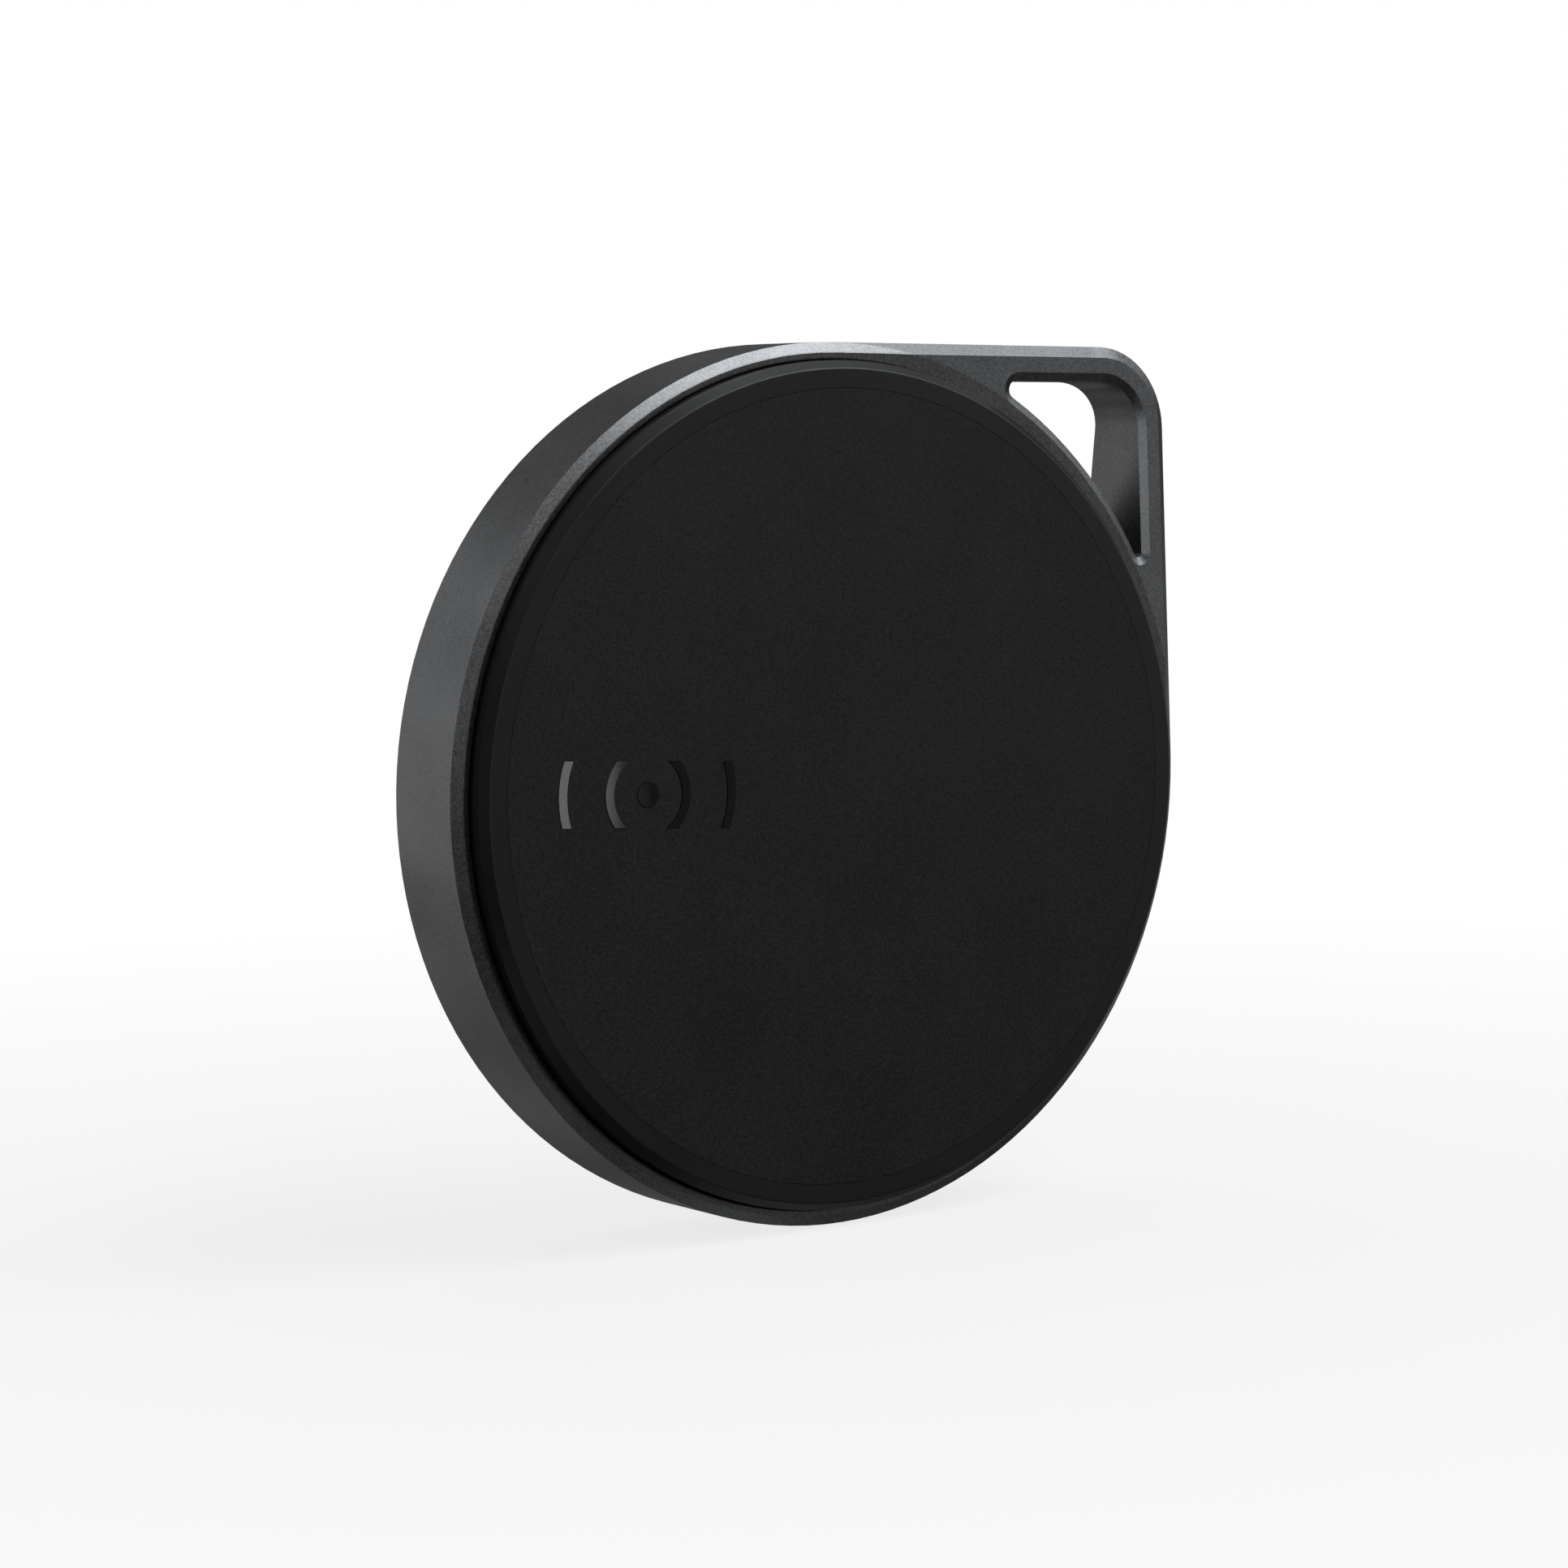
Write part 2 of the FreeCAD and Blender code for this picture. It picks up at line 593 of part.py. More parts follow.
def make_chassis():
    """The moulded tray behind the board: cell cup, screw bosses and bayonet ledges."""
    floor = disc(CHASSIS_RADIUS, BOARD_REAR, CHASSIS_FLOOR)
    wall = ring(CHASSIS_RADIUS, CHASSIS_WALL_INNER, CHASSIS_FLOOR, 2.20)
    cup = disc(CUP_OUTER, CHASSIS_FLOOR, 1.90)
    boss = disc(1.4, CHASSIS_FLOOR, 0.90, SCREW_CIRCLE, 0)
    parts = [wall, cup] + placed_at_all(boss, SCREW_ANGLES)
    parts += [make_bayonet(angle) for angle in LUG_ANGLES]
    chassis = joined(floor, parts)
    cuts = [disc(CUP_INNER, BOARD_REAR, 1.90)]
    cuts += placed_at_all(disc(0.6, BOARD_REAR, 0.60, SCREW_CIRCLE, 0), SCREW_ANGLES)
    cuts += placed_at_all(block((9.8, BOARD_REAR, -1.4), (12.9, 1.90, 1.4)), POSITIVE_CONTACT_ANGLES)
    cuts += [on_board(part, PART_CLEARANCE) for part in (BLUETOOTH_CHIP, MOTION_SENSOR, CHIP_ANTENNA)]
    cuts += [on_board(part, PART_CLEARANCE) for part in CRYSTALS + CHIP_PARTS]
    cuts.append(disc(BUZZER_RADIUS + 0.05, BOARD_REAR, CHASSIS_FLOOR, BUZZER_X, BUZZER_Z))
    return chassis.cut(cuts)


def make_chassis_screws():
    """Three pan-head screws through the frame's lugs and the board into the chassis."""
    head = disc(1.1, -2.20, -1.86, SCREW_CIRCLE, 0)
    shank = disc(0.55, -1.86, 0.45, SCREW_CIRCLE, 0)
    across = 0.75
    blade = 0.14
    deep = -2.02
    driver = block((SCREW_CIRCLE - across, -2.3, -blade), (SCREW_CIRCLE + across, deep, blade))
    driver = driver.fuse(block((SCREW_CIRCLE - blade, -2.3, -across), (SCREW_CIRCLE + blade, deep, across)))
    screw = head.fuse(shank).cut(driver)
    return Part.makeCompound(placed_at_all(screw, SCREW_ANGLES))


# ---- battery cover and what turns with it ----------------------------------------------------
SEAL_GROOVE_RADIUS = 18.72
SEAL_GROOVE_FRONT = 1.86
SEAL_GROOVE_REAR = 2.34
SEAL_RADIUS = 18.965
SEAL_THICKNESS = 0.45
COIN_SLOT_HALF_LENGTH = 6.0
COIN_SLOT_HALF_WIDTH = 0.95
COIN_SLOT_DEPTH = 0.45
PAD_POCKET_REAR = 2.77
SOUND_HOLE_RADIUS = 0.40
SOUND_HOLE_CIRCLE = 1.30


def make_coin_slot():
    """A shallow round-ended slot that a coin turns the cover by."""
    straight = COIN_SLOT_HALF_LENGTH - COIN_SLOT_HALF_WIDTH
    bottom = COVER_FACE - COIN_SLOT_DEPTH
    slot = block((-straight, bottom, -COIN_SLOT_HALF_WIDTH), (straight, COVER_FACE, COIN_SLOT_HALF_WIDTH))
    ends = [disc(COIN_SLOT_HALF_WIDTH, bottom, COVER_FACE, side * straight, 0) for side in (-1, 1)]
    return slot.fuse(ends)


def make_sound_holes():
    """One hole and six round it, over the buzzer."""
    middle = disc(SOUND_HOLE_RADIUS, 2.0, COVER_FACE, BUZZER_X, BUZZER_Z)
    holes = [middle]
    for step in range(6):
        x, z = polar(SOUND_HOLE_CIRCLE, 60 * step)
        holes.append(middle.translated(Vector(x, 0, z)))
    return holes


def make_rear_cover():
    underside = COVER_FACE - COVER_PLATE
    cover = turned([
        (0, COVER_FACE),
        (COVER_FACE_RADIUS, COVER_FACE, COVER_ROUND),
        (COVER_RADIUS, COVER_EDGE, COVER_ROUND),
        (COVER_RADIUS, SEAL_GROOVE_REAR),
        (SEAL_GROOVE_RADIUS, SEAL_GROOVE_REAR),
        (SEAL_GROOVE_RADIUS, SEAL_GROOVE_FRONT),
        (COVER_RADIUS, SEAL_GROOVE_FRONT),
        (COVER_RADIUS, REAR_LEDGE + 0.10),
        (18.15, REAR_LEDGE + 0.10),
        (18.15, underside),
        (0, underside),
    ])
    skirt = ring(16.6, 16.0, LUG_FRONT, underside)
    lugs = [sector(LUG_OUTER, 16.5, LUG_FRONT, LUG_REAR, angle, LUG_HALF) for angle in LUG_ANGLES]
    cover = joined(cover, [skirt] + lugs)
    cuts = [disc(9.0, underside, PAD_POCKET_REAR), make_coin_slot()] + make_sound_holes()
    return cover.cut(cuts)


def make_seal_ring():
    return Part.makeTorus(SEAL_RADIUS, SEAL_THICKNESS / 2, Vector(0, 2.10, 0), REARWARD)


def make_cell_pad():
    """The foam disc that keeps the cell on its contacts."""
    return disc(8.6, CELL_REAR + 0.02, PAD_POCKET_REAR)


def make_sound_mesh():
    underside = COVER_FACE - COVER_PLATE
    return disc(1.9, underside - 0.12, underside, BUZZER_X, BUZZER_Z)


# ---- all the pieces --------------------------------------------------------------------------
def make_pieces():
    return {
        "frame": make_frame(),
        "front_cover": make_front_cover(),
        "front_pad": make_front_pad(),
        "beacon_mark": make_beacon_mark(),
        "button_plunger": make_button_plunger(),
        "cover_gasket": make_cover_gasket(),
        "switch_base": make_switch_base(),
        "switch_dome": make_switch_dome(),
        "circuit_board": make_circuit_board(),
        "bluetooth_chip": on_board(BLUETOOTH_CHIP),
        "motion_sensor": on_board(MOTION_SENSOR),
        "chip_antenna": on_board(CHIP_ANTENNA),
        "crystals": Part.makeCompound([on_board(part) for part in CRYSTALS]),
        "chip_parts": Part.makeCompound([on_board(part) for part in CHIP_PARTS]),
        "negative_contact": make_negative_contact(),
        "positive_contacts": make_positive_contacts(),
        "cell_can": make_cell_can(),
        "cell_cap": make_cell_cap(),
        "cell_seal": make_cell_seal(),
        "buzzer_case": make_buzzer_case(),
        "buzzer_diaphragm": make_buzzer_diaphragm(),
        "buzzer_magnet": make_buzzer_magnet(),
        "buzzer_coil": make_buzzer_coil(),
        "buzzer_core": make_buzzer_core(),
        "chassis": make_chassis(),
        "chassis_screws": make_chassis_screws(),
        "rear_cover": make_rear_cover(),
        "seal_ring": make_seal_ring(),
        "cell_pad": make_cell_pad(),
        "sound_mesh": make_sound_mesh(),
    }


os.makedirs("parts", exist_ok=True)
for name, shape in make_pieces().items():
    shape.exportStep(os.path.join("parts", name + ".step"))
    print(name, "solids", len(shape.Solids), "valid", shape.isValid(), "volume", round(shape.Volume, 2))
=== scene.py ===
import math

import bpy
from mathutils import Matrix, Vector


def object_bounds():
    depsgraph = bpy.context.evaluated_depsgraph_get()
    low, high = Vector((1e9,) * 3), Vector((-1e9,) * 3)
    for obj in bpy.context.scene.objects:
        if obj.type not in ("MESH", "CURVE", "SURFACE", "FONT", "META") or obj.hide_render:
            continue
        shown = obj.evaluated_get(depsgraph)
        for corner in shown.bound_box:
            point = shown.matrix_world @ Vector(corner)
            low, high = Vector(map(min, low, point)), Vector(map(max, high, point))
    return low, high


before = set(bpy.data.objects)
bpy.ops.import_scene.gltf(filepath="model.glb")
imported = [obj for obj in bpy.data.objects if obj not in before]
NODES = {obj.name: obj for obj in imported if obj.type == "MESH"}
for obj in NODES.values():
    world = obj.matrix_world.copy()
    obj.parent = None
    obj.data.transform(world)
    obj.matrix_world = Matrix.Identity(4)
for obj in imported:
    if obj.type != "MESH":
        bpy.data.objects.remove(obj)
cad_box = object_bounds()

# A key-ring tracker tag, upright on the plain floor of a studio. Metres, in the CAD frame: the axis of
# the round body is Y, the front is towards -Y, +Z is up, and the ear points to +X +Z.

MM = 0.001


# ---- camera ----------------------------------------------------------------------------------
CAMERA_AZIMUTH = -34.98     # degrees; 0 looks along +Y
CAMERA_ELEVATION = 4.98
CAMERA_ROLL = -1.0
CAMERA_DISTANCE = 0.1983    # from the middle of the rim's front face
CAMERA_LENS = 100.64        # focal length and sensor width in millimetres
CAMERA_SENSOR = 36
CAMERA_ASIDE = -2.136 * MM  # the camera stands this far to its own right of the body's axis
CAMERA_ABOVE = 0.097 * MM   # and this far above it
CAMERA_RANGE = (0.01, 20)   # what is nearer or further isn't drawn
RIM_FRONT = -2.29 * MM      # Y of the rim's front face


def direction(azimuth, elevation):
    """Unit vector away from the tag: azimuth from -Y towards +X and elevation, both in degrees."""
    turn = math.radians(azimuth)
    rise = math.radians(elevation)
    return Vector((math.sin(turn) * math.cos(rise), -math.cos(turn) * math.cos(rise), math.sin(rise)))


def add_camera():
    """The camera, in front of the tag and to its left, aimed near the middle of the rim's front face."""
    roll = math.radians(CAMERA_ROLL)
    back = direction(CAMERA_AZIMUTH, CAMERA_ELEVATION)
    level = Vector((0, 0, 1)).cross(back).normalized()
    upright = back.cross(level)
    right = level * math.cos(roll) + upright * math.sin(roll)
    up = upright * math.cos(roll) - level * math.sin(roll)
    rim_middle = Vector((0, RIM_FRONT, 0))
    place = rim_middle + back * CAMERA_DISTANCE + right * CAMERA_ASIDE + up * CAMERA_ABOVE
    data = bpy.data.cameras.new("camera")
    data.lens = CAMERA_LENS
    data.sensor_width = CAMERA_SENSOR
    data.clip_start, data.clip_end = CAMERA_RANGE
    camera = bpy.data.objects.new("camera", data)
    turn = Matrix((right, up, back)).transposed()
    camera.matrix_world = Matrix.Translation(place) @ turn.to_4x4()
    bpy.context.scene.collection.objects.link(camera)
    bpy.context.scene.camera = camera


# ---- node helpers ----------------------------------------------------------------------------
# A finish runs from its dark or smooth value to its light or rough one while its noise is between two
# values. A narrower range gives more contrast.
NOISE_RANGE = (0.3, 0.7)
TONE_RANGE = (0.37, 0.63)   # for the metal
GRAIN_RANGE = (0.38, 0.62)  # for the grained fields
FINE_SHARE = 0.8            # how much of a mixed noise is its fine part


class Nodes:
    """A material's or world's node tree, with short ways to add to it."""

    def __init__(self, owner):
        owner.use_nodes = True
        self.tree = owner.node_tree
        self.tree.nodes.clear()

    def add(self, kind, **settings):
        node = self.tree.nodes.new(kind)
        for name, value in settings.items():
            setattr(node, name, value)
        return node

    def link(self, source, target):
        self.tree.links.new(source, target)

    def math(self, operation, first, second=0.0):
        """One sum on two values, each of them a number or another node's output."""
        node = self.add("ShaderNodeMath", operation=operation)
        for socket, value in zip(node.inputs, (first, second)):
            if isinstance(value, (int, float)):
                socket.default_value = value
            else:
                self.link(value, socket)
        return node.outputs[0]

    def noise(self, place, scale, detail=2.0, roughness=0.5):
        node = self.add("ShaderNodeTexNoise")
        node.inputs["Scale"].default_value = scale
        node.inputs["Detail"].default_value = detail
        node.inputs["Roughness"].default_value = roughness
        self.link(place, node.inputs["Vector"])
        return node.outputs["Fac"]

    def mixed_noise(self, fine, broad):
        """A fine noise with a little of a broad one in it."""
        fine_part = self.math("MULTIPLY", fine, FINE_SHARE)
        return self.math("ADD", fine_part, self.math("MULTIPLY", broad, 1 - FINE_SHARE))

    def ramp(self, factor, stops):
        """A colour ramp from (position, colour) stops."""
        node = self.add("ShaderNodeValToRGB")
        elements = node.color_ramp.elements
        while len(elements) < len(stops):
            elements.new(0.5)
        for element, (position, colour) in zip(elements, stops):
            element.position = position
            element.color = (*colour, 1)
        self.link(factor, node.inputs["Fac"])
        return node.outputs["Color"]

    def shade(self, noise, between, dark, light):
        """A colour that runs from dark to light as a noise goes from one of two values to the other."""
        return self.ramp(noise, [(between[0], dark), (between[1], light)])

    def split(self, place):
        """The three coordinates of a place."""
        node = self.add("ShaderNodeSeparateXYZ")
        self.link(place, node.inputs[0])
        return node.outputs

    def from_axis(self, place):
        """Distance from the axis of the round body, and how far the place is from its middle plane."""
        flat = self.add("ShaderNodeVectorMath", operation="MULTIPLY")
        self.link(place, flat.inputs[0])
        flat.inputs[1].default_value = (1, 0, 1)
        length = self.add("ShaderNodeVectorMath", operation="LENGTH")
        self.link(flat.outputs["Vector"], length.inputs[0])
        return length.outputs["Value"], self.math("ABSOLUTE", self.split(place)["Y"])

    def mixed(self, factor, first, second):
        """The first colour where the factor is 0, and the second where it is 1."""
        node = self.add("ShaderNodeMix", data_type="RGBA")
        self.link(factor, node.inputs["Factor"])
        self.link(first, node.inputs["A"])
        self.link(second, node.inputs["B"])
        return node.outputs["Result"]

    def span(self, value, low, high, new_low, new_high):
        """Moves a value from one range into another, kept inside the new one."""
        node = self.add("ShaderNodeMapRange")
        node.inputs["From Min"].default_value = low
        node.inputs["From Max"].default_value = high
        node.inputs["To Min"].default_value = new_low
        node.inputs["To Max"].default_value = new_high
        self.link(value, node.inputs["Value"])
        return node.outputs["Result"]


def surface(name, metallic=0.0, specular=0.5, coat=0.0, coat_roughness=0.1):
    """A new material, its nodes, its Principled shader, and the place on the piece."""
    material = bpy.data.materials.new(name)
    nodes = Nodes(material)
    shader = nodes.add("ShaderNodeBsdfPrincipled")
    shader.inputs["Metallic"].default_value = metallic
    shader.inputs["IOR"].default_value = 1.5
    shader.inputs["Specular IOR Level"].default_value = specular
    shader.inputs["Coat Weight"].default_value = coat
    shader.inputs["Coat Roughness"].default_value = coat_roughness
    output = nodes.add("ShaderNodeOutputMaterial")
    nodes.link(shader.outputs["BSDF"], output.inputs["Surface"])
    place = nodes.add("ShaderNodeTexCoord").outputs["Object"]
    return material, nodes, shader, place


def add_roughness(nodes, shader, noise, low, high):
    """Roughness that follows a noise, between two values."""
    nodes.link(nodes.span(noise, *NOISE_RANGE, low, high), shader.inputs["Roughness"])


def add_bump(nodes, shader, height, strength, distance):
    """Fine relief from a height between 0 and 1, as deep as the distance at full strength."""
    bump = nodes.add("ShaderNodeBump")
    bump.inputs["Strength"].default_value = strength
    bump.inputs["Distance"].default_value = distance
    nodes.link(height, bump.inputs["Height"])
    nodes.link(bump.outputs["Normal"], shader.inputs["Normal"])


# ---- materials -------------------------------------------------------------------------------
# Each pair is where a zone of a finish, of painted shade or of painted reflection begins to change and
# where it has changed.
COLLAR_EDGE = (19.96 * MM, 20.00 * MM)      # distance from the axis: the collar's painted shade is inside this
COLLAR_FOOT = (2.570 * MM, 2.590 * MM)      # distance from the middle plane: and beyond this
FIELD_EDGE = (17.93 * MM, 17.97 * MM)       # the battery cover's grained field is inside this
MARK_REFLECTION_FADE = (-13.4 * MM, -10.4 * MM)        # X: the mark's painted reflection fades from grey to the foil's black
MARK_MOTTLE = 0.1                           # how far a fine noise shifts that fade
ROUND_EDGE = (19.98 * MM, 20.01 * MM)       # distance from the axis: the ear is outside this
EAR_TOP_TILT = 0.0218                       # how far the ear's top side drops for each unit of X
EAR_TOP_EDGE = (19.47 * MM, 19.49 * MM)     # height square to that side: its chamfers are above this
EAR_TOP_END = (15.0 * MM, 16.8 * MM)        # X: the painted shade along it ends over this stretch


def ear_top_zone(nodes, place, radius):
    """1 on the ear's top side and its chamfers, up to the round body's edge, where the metal gets
    painted shade, and 0 elsewhere.

    The round body's wall is inside ROUND_EDGE, so its topmost stretch is partly in the zone too.
    """
    parts = nodes.split(place)
    dropped = nodes.math("MULTIPLY", parts["X"], EAR_TOP_TILT)
    across = nodes.math("ADD", parts["Z"], dropped)
    on_edge = nodes.span(across, *EAR_TOP_EDGE, 0.0, 1.0)
    on_ear = nodes.span(radius, *ROUND_EDGE, 0.0, 1.0)
    before_corner = nodes.span(parts["X"], *EAR_TOP_END, 1.0, 0.0)
    return nodes.math("MULTIPLY", nodes.math("MULTIPLY", on_edge, on_ear), before_corner)


def blasted_metal():
    """Bead-blasted, dark grey anodised aluminium.

    Its colour is darker on the collar round each cover and along the ear's top: painted shade in place
    of the darker reflections there.
    """
    material, nodes, shader, place = surface("blasted_metal", metallic=1.0)
    grain = nodes.noise(place, scale=9000, detail=3, roughness=0.6)
    mottle = nodes.noise(place, scale=260, detail=3)
    tone = nodes.mixed_noise(grain, mottle)
    blasted = nodes.shade(tone, TONE_RANGE, (0.150, 0.152, 0.157), (0.285, 0.289, 0.295))
    # Painted shade: a darker colour on the collar round each cover, in place of its darker reflections.
    collar_shade = nodes.shade(tone, TONE_RANGE, (0.125, 0.125, 0.125), (0.235, 0.235, 0.235))
    # Painted shade: a darker colour along the ear's top and its chamfers, in place of the shading of
    # differently tilted faces.
    ear_top_shade = nodes.shade(tone, TONE_RANGE, (0.095, 0.098, 0.101), (0.178, 0.183, 0.188))
    radius, height = nodes.from_axis(place)
    inside = nodes.span(radius, *COLLAR_EDGE, 1.0, 0.0)
    collar = nodes.math("MULTIPLY", inside, nodes.span(height, *COLLAR_FOOT, 0.0, 1.0))
    # The ear's top takes its painted shade here.
    finish = nodes.mixed(ear_top_zone(nodes, place, radius), blasted, ear_top_shade)
    # The collar takes its painted shade here.
    nodes.link(nodes.mixed(collar, finish, collar_shade), shader.inputs["Base Color"])
    add_roughness(nodes, shader, grain, low=0.28, high=0.40)
    add_bump(nodes, shader, grain, strength=0.25, distance=0.02 * MM)
    return material


def satin_cover():
    """Smooth black moulded plastic."""
    material, nodes, shader, place = surface("satin_cover")
    fine = nodes.noise(place, scale=5000, detail=2)
    broad = nodes.noise(place, scale=150, detail=3)
    colour = nodes.shade(broad, NOISE_RANGE, (0.011, 0.0115, 0.0115), (0.015, 0.0155, 0.0155))
    nodes.link(colour, shader.inputs["Base Color"])
    add_roughness(nodes, shader, broad, low=0.36, high=0.44)
    add_bump(nodes, shader, fine, strength=0.08, distance=0.005 * MM)
    return material


def grained_pad():
    """Matt black soft-touch field with a fine pebble grain."""
    material, nodes, shader, place = surface("grained_pad")
    grain = nodes.noise(place, scale=7000, detail=3, roughness=0.65)
    broad = nodes.noise(place, scale=200, detail=2)
    tone = nodes.mixed_noise(grain, broad)
    colour = nodes.shade(tone, GRAIN_RANGE, (0.0025, 0.003, 0.003), (0.0185, 0.019, 0.019))
    nodes.link(colour, shader.inputs["Base Color"])
    add_roughness(nodes, shader, grain, low=0.50, high=0.65)
    add_bump(nodes, shader, grain, strength=0.5, distance=0.02 * MM)
    return material


def rear_finish():
    """Black plastic like the front's: a fine-grained field inside a smooth border."""
    material, nodes, shader, place = surface("rear_finish")
    grain = nodes.noise(place, scale=7000, detail=3, roughness=0.65)
    broad = nodes.noise(place, scale=150, detail=3)
    radius = nodes.from_axis(place)[0]
    field = nodes.span(radius, *FIELD_EDGE, 1.0, 0.0)
    smooth = nodes.shade(broad, NOISE_RANGE, (0.017, 0.0175, 0.0175), (0.023, 0.0235, 0.0235))
    grained = nodes.shade(grain, GRAIN_RANGE, (0.008, 0.0085, 0.0085), (0.032, 0.0325, 0.0325))
    nodes.link(nodes.mixed(field, smooth, grained), shader.inputs["Base Color"])
    nodes.link(nodes.span(field, 0.0, 1.0, 0.40, 0.57), shader.inputs["Roughness"])
    add_bump(nodes, shader, nodes.math("MULTIPLY", grain, field), strength=0.5, distance=0.02 * MM)
    return material


def gloss_mark():
    """Hot-stamped black gloss foil with a painted reflection: grey at its left, fading to black at its
    right.
    """
    material, nodes, shader, place = surface("gloss_mark", specular=0.3, coat=0.1, coat_roughness=0.08)
    fine = nodes.noise(place, scale=3000, detail=2)
    # Painted reflection: grey at the mark's left, fading into the foil's black.
    reflection_fade = nodes.span(nodes.split(place)["X"], *MARK_REFLECTION_FADE, 0.0, 1.0)
    along = nodes.math("ADD", reflection_fade, nodes.math("MULTIPLY", fine, MARK_MOTTLE))
    colour = nodes.ramp(along, [
        (0.05, (0.32, 0.32, 0.31)),
        (0.5, (0.06, 0.06, 0.06)),
        (1.0, (0.003, 0.003, 0.003)),
    ])
    nodes.link(colour, shader.inputs["Base Color"])
    add_roughness(nodes, shader, fine, low=0.16, high=0.24)
    add_bump(nodes, shader, fine, strength=0.05, distance=0.004 * MM)
    return material


def plain_finish(name, dark, light, roughness, metallic=0.0, bump=0.15):
    """A finish with fine mottling between two colours, for the pieces inside."""
    material, nodes, shader, place = surface(name, metallic=metallic)
    fine = nodes.noise(place, scale=2500, detail=3, roughness=0.6)
    nodes.link(nodes.shade(fine, NOISE_RANGE, dark, light), shader.inputs["Base Color"])
    add_roughness(nodes, shader, fine, low=roughness - 0.05, high=roughness + 0.05)
    add_bump(nodes, shader, fine, strength=bump, distance=0.01 * MM)
    return material


def plain_metal(name, dark, light, roughness):
    """The same for bare metal."""
    return plain_finish(name, dark, light, roughness, metallic=1.0)


def finish_nodes():
    """Gives every CAD node its material."""
    metal = blasted_metal()
    cover = satin_cover()
    moulded = plain_finish("moulded_black", (0.012, 0.012, 0.013), (0.022, 0.022, 0.024), 0.5)
    steel = plain_metal("bright_steel", (0.52, 0.51, 0.49), (0.64, 0.63, 0.61), 0.25)
    cell = plain_metal("cell_nickel", (0.60, 0.60, 0.58), (0.70, 0.70, 0.68), 0.22)
    foam = plain_finish("foam", (0.015, 0.015, 0.015), (0.040, 0.040, 0.040), 0.9, bump=0.8)
    rubber = plain_finish("rubber_seal", (0.010, 0.010, 0.010), (0.020, 0.020, 0.020), 0.55)
    epoxy = plain_finish("chip_epoxy", (0.010, 0.010, 0.010), (0.022, 0.022, 0.022), 0.6, bump=0.4)
    silicone = plain_finish("silicone", (0.45, 0.45, 0.44), (0.58, 0.58, 0.57), 0.5)
    board = plain_finish("board_laminate", (0.004, 0.045, 0.018), (0.008, 0.075, 0.030), 0.35)
    white_ceramic = plain_finish("white_ceramic", (0.68, 0.68, 0.65), (0.78, 0.78, 0.75), 0.5)
    brown_ceramic = plain_finish("brown_ceramic", (0.20, 0.12, 0.07), (0.30, 0.19, 0.11), 0.5)
    magnet = plain_metal("magnet_nickel", (0.30, 0.30, 0.31), (0.42, 0.42, 0.43), 0.3)
    copper = plain_metal("copper_wire", (0.50, 0.20, 0.09), (0.68, 0.30, 0.15), 0.35)
    cloth = plain_finish("sound_cloth", (0.01, 0.01, 0.01), (0.05, 0.05, 0.05), 0.8, bump=0.9)
    by_node = {
        "frame": metal,
        "front_cover": cover,
        "rear_cover": rear_finish(),
        "front_pad": grained_pad(),
        "beacon_mark": gloss_mark(),
        "button_plunger": silicone,
        "cover_gasket": foam,
        "cell_pad": foam,
        "switch_base": moulded,
        "cell_seal": moulded,
        "buzzer_case": moulded,
        "chassis": moulded,
        "switch_dome": steel,
        "crystals": steel,
        "negative_contact": steel,
        "positive_contacts": steel,
        "buzzer_diaphragm": steel,
        "buzzer_core": steel,
        "chassis_screws": steel,
        "circuit_board": board,
        "bluetooth_chip": epoxy,
        "motion_sensor": epoxy,
        "chip_antenna": white_ceramic,
        "chip_parts": brown_ceramic,
        "cell_can": cell,
        "cell_cap": cell,
        "buzzer_magnet": magnet,
        "buzzer_coil": copper,
        "seal_ring": rubber,
        "sound_mesh": cloth,
    }
    for name, node in NODES.items():
        for holder in node.material_slots:
            holder.material = by_node[name]


# ---- studio ----------------------------------------------------------------------------------
FLOOR_RADIUS = 2.4
FLOOR_GREY = (0.9, 0.9, 0.9, 1)
FLOOR_FADE = (0.03, 0.12)   # the floor turns into plain white between these distances from the middle
FLOOR_GLOW = 0.80           # so much of it is plain white already, under the tag
SURROUND_RADIUS = FLOOR_RADIUS * 1.02


def floor_finish():
    """Pale grey that takes the tag's shadow, and turns into plain white away from the tag."""
    material = bpy.data.materials.new("floor")
    nodes = Nodes(material)
    shader = nodes.add("ShaderNodeBsdfDiffuse")
    shader.inputs["Color"].default_value = FLOOR_GREY
    glow = nodes.add("ShaderNodeEmission")
    mix = nodes.add("ShaderNodeMixShader")
    output = nodes.add("ShaderNodeOutputMaterial")
    place = nodes.add("ShaderNodeTexCoord").outputs["Object"]
    distance = nodes.add("ShaderNodeVectorMath", operation="LENGTH")
    nodes.link(place, distance.inputs[0])
    nodes.link(nodes.span(distance.outputs["Value"], *FLOOR_FADE, FLOOR_GLOW, 1.0), mix.inputs["Fac"])
    nodes.link(shader.outputs[0], mix.inputs[1])
    nodes.link(glow.outputs[0], mix.inputs[2])
    nodes.link(mix.outputs[0], output.inputs["Surface"])
    return material


def white_glow():
    """Plain white, whatever the light."""
    material = bpy.data.materials.new("surround")
    nodes = Nodes(material)
    glow = nodes.add("ShaderNodeEmission")
    output = nodes.add("ShaderNodeOutputMaterial")
    nodes.link(glow.outputs[0], output.inputs["Surface"])
    return material


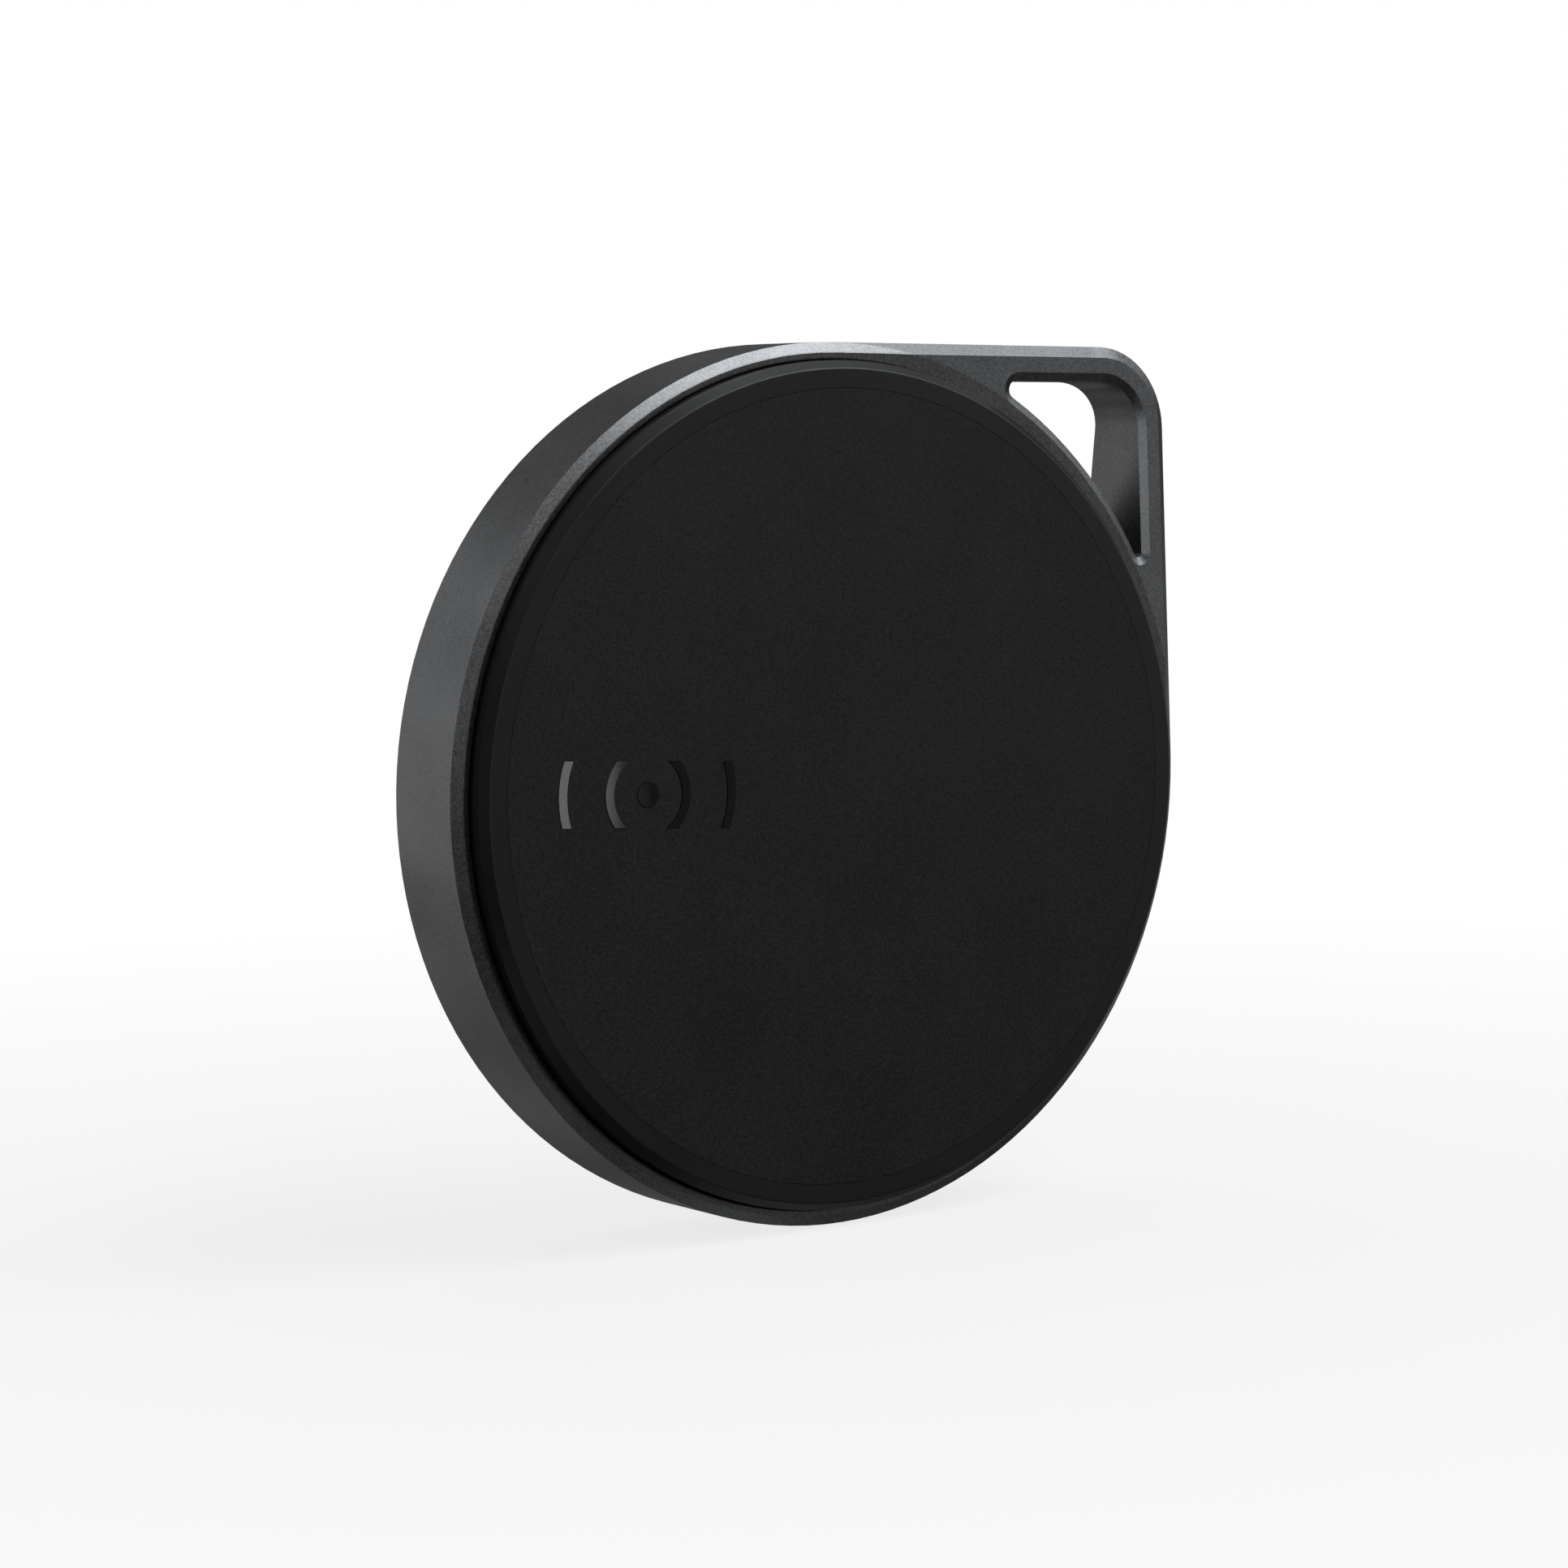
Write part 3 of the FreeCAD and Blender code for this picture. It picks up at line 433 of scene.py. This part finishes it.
def add_stage():
    """A pale floor and a white surround. Neither lights the tag, and neither shows in its surfaces."""
    underside = cad_box[0][2]
    bpy.ops.mesh.primitive_circle_add(
        vertices=96, radius=FLOOR_RADIUS, fill_type="NGON", location=(0, 0, underside))
    floor = bpy.context.object
    floor.name = "floor"
    floor.data.materials.append(floor_finish())
    bpy.ops.mesh.primitive_uv_sphere_add(segments=48, ring_count=24, radius=SURROUND_RADIUS)
    surround = bpy.context.object
    surround.name = "surround"
    surround.data.materials.append(white_glow())
    surround.visible_transmission = False
    surround.visible_shadow = False
    for piece in (floor, surround):
        piece.visible_diffuse = False
        piece.visible_glossy = False


WORLD_GREY = (0.045, 0.045, 0.045, 1)
SOFTBOX_SIZE = 0.24
SOFTBOX_DISTANCE = 0.6      # from the middle of the tag
COOL = (0.95, 0.98, 1.0)
NEUTRAL = (1.0, 1.0, 1.0)
WARM = (1.0, 0.96, 0.92)

# Name: azimuth in degrees from -Y towards +X, elevation in degrees, brightness, colour.
# The keys light the chamfers and the ear from above and the right, and the rest lift the other sides.
SOFTBOXES = {
    "key_left": (15, 56, 2.7, COOL),
    "key_middle": (48, 62, 2.9, COOL),
    "key_right": (64, 47, 3.0, COOL),
    "key_low": (46, 34, 1.4, COOL),
    "key_side": (62, 19, 0.8, COOL),
    "key_far_side": (88, 20, 0.6, COOL),
    "upper_left": (-22, 36, 0.5, NEUTRAL),
    "left": (-72, 0, 0.20, NEUTRAL),
    "left_high": (-68, 42, 0.28, NEUTRAL),
    "left_low": (-66, -44, 0.32, NEUTRAL),
    "left_rear_top": (-128, 42, 0.80, COOL),
    "front_left": (-15, 0, 1.2, COOL),
    "beside_camera": (-35, 15, 0.17, NEUTRAL),
    "front": (36, 2, 0.18, COOL),
    "front_right": (50, 4, 0.30, COOL),
    "low_left": (-25, -48, 0.12, WARM),
    "below": (40, -65, 0.20, COOL),
    "below_right": (70, -42, 0.11, NEUTRAL),
    "far_below": (120, -66, 0.25, NEUTRAL),
    "low_right": (106, -13, 0.25, NEUTRAL),
    "right_high": (108, 54, 0.40, COOL),
    "left_rear": (-150, 0, 0.58, NEUTRAL),
    "left_rear_high": (-157, 20, 0.50, COOL),
    "left_rear_low": (-155, -20, 0.32, NEUTRAL),
    "rear_high": (-178, 33, 0.17, NEUTRAL),
    "rear_low_left": (-176, -36, 0.18, WARM),
    "rear_low": (163, -30, 0.06, WARM),
    "rear_right_low": (142, -36, 0.18, NEUTRAL),
    "rear_key": (150, 66, 2.4, COOL),
    "rear_fill": (150, 24, 0.08, NEUTRAL),
}


def add_softbox(name, azimuth, elevation, brightness, colour):
    """A square light that faces the middle of the tag, and that the camera doesn't see."""
    data = bpy.data.lights.new(name, "AREA")
    data.shape = "SQUARE"
    data.size = SOFTBOX_SIZE
    data.energy = brightness * math.pi * SOFTBOX_SIZE ** 2
    data.color = colour
    light = bpy.data.objects.new(name, data)
    towards = direction(azimuth, elevation)
    light.location = towards * SOFTBOX_DISTANCE
    light.rotation_euler = towards.to_track_quat("Z", "Y").to_euler()
    light.visible_camera = False
    bpy.context.scene.collection.objects.link(light)


def add_lights():
    """A dim grey world and the softboxes."""
    world = bpy.data.worlds.new("studio")
    bpy.context.scene.world = world
    nodes = Nodes(world)
    background = nodes.add("ShaderNodeBackground")
    output = nodes.add("ShaderNodeOutputWorld")
    background.inputs["Color"].default_value = WORLD_GREY
    nodes.link(background.outputs[0], output.inputs["Surface"])
    for name, settings in SOFTBOXES.items():
        add_softbox(name, *settings)


add_camera()
finish_nodes()
add_stage()
add_lights()
bpy.context.scene.view_settings.view_transform = "Standard"
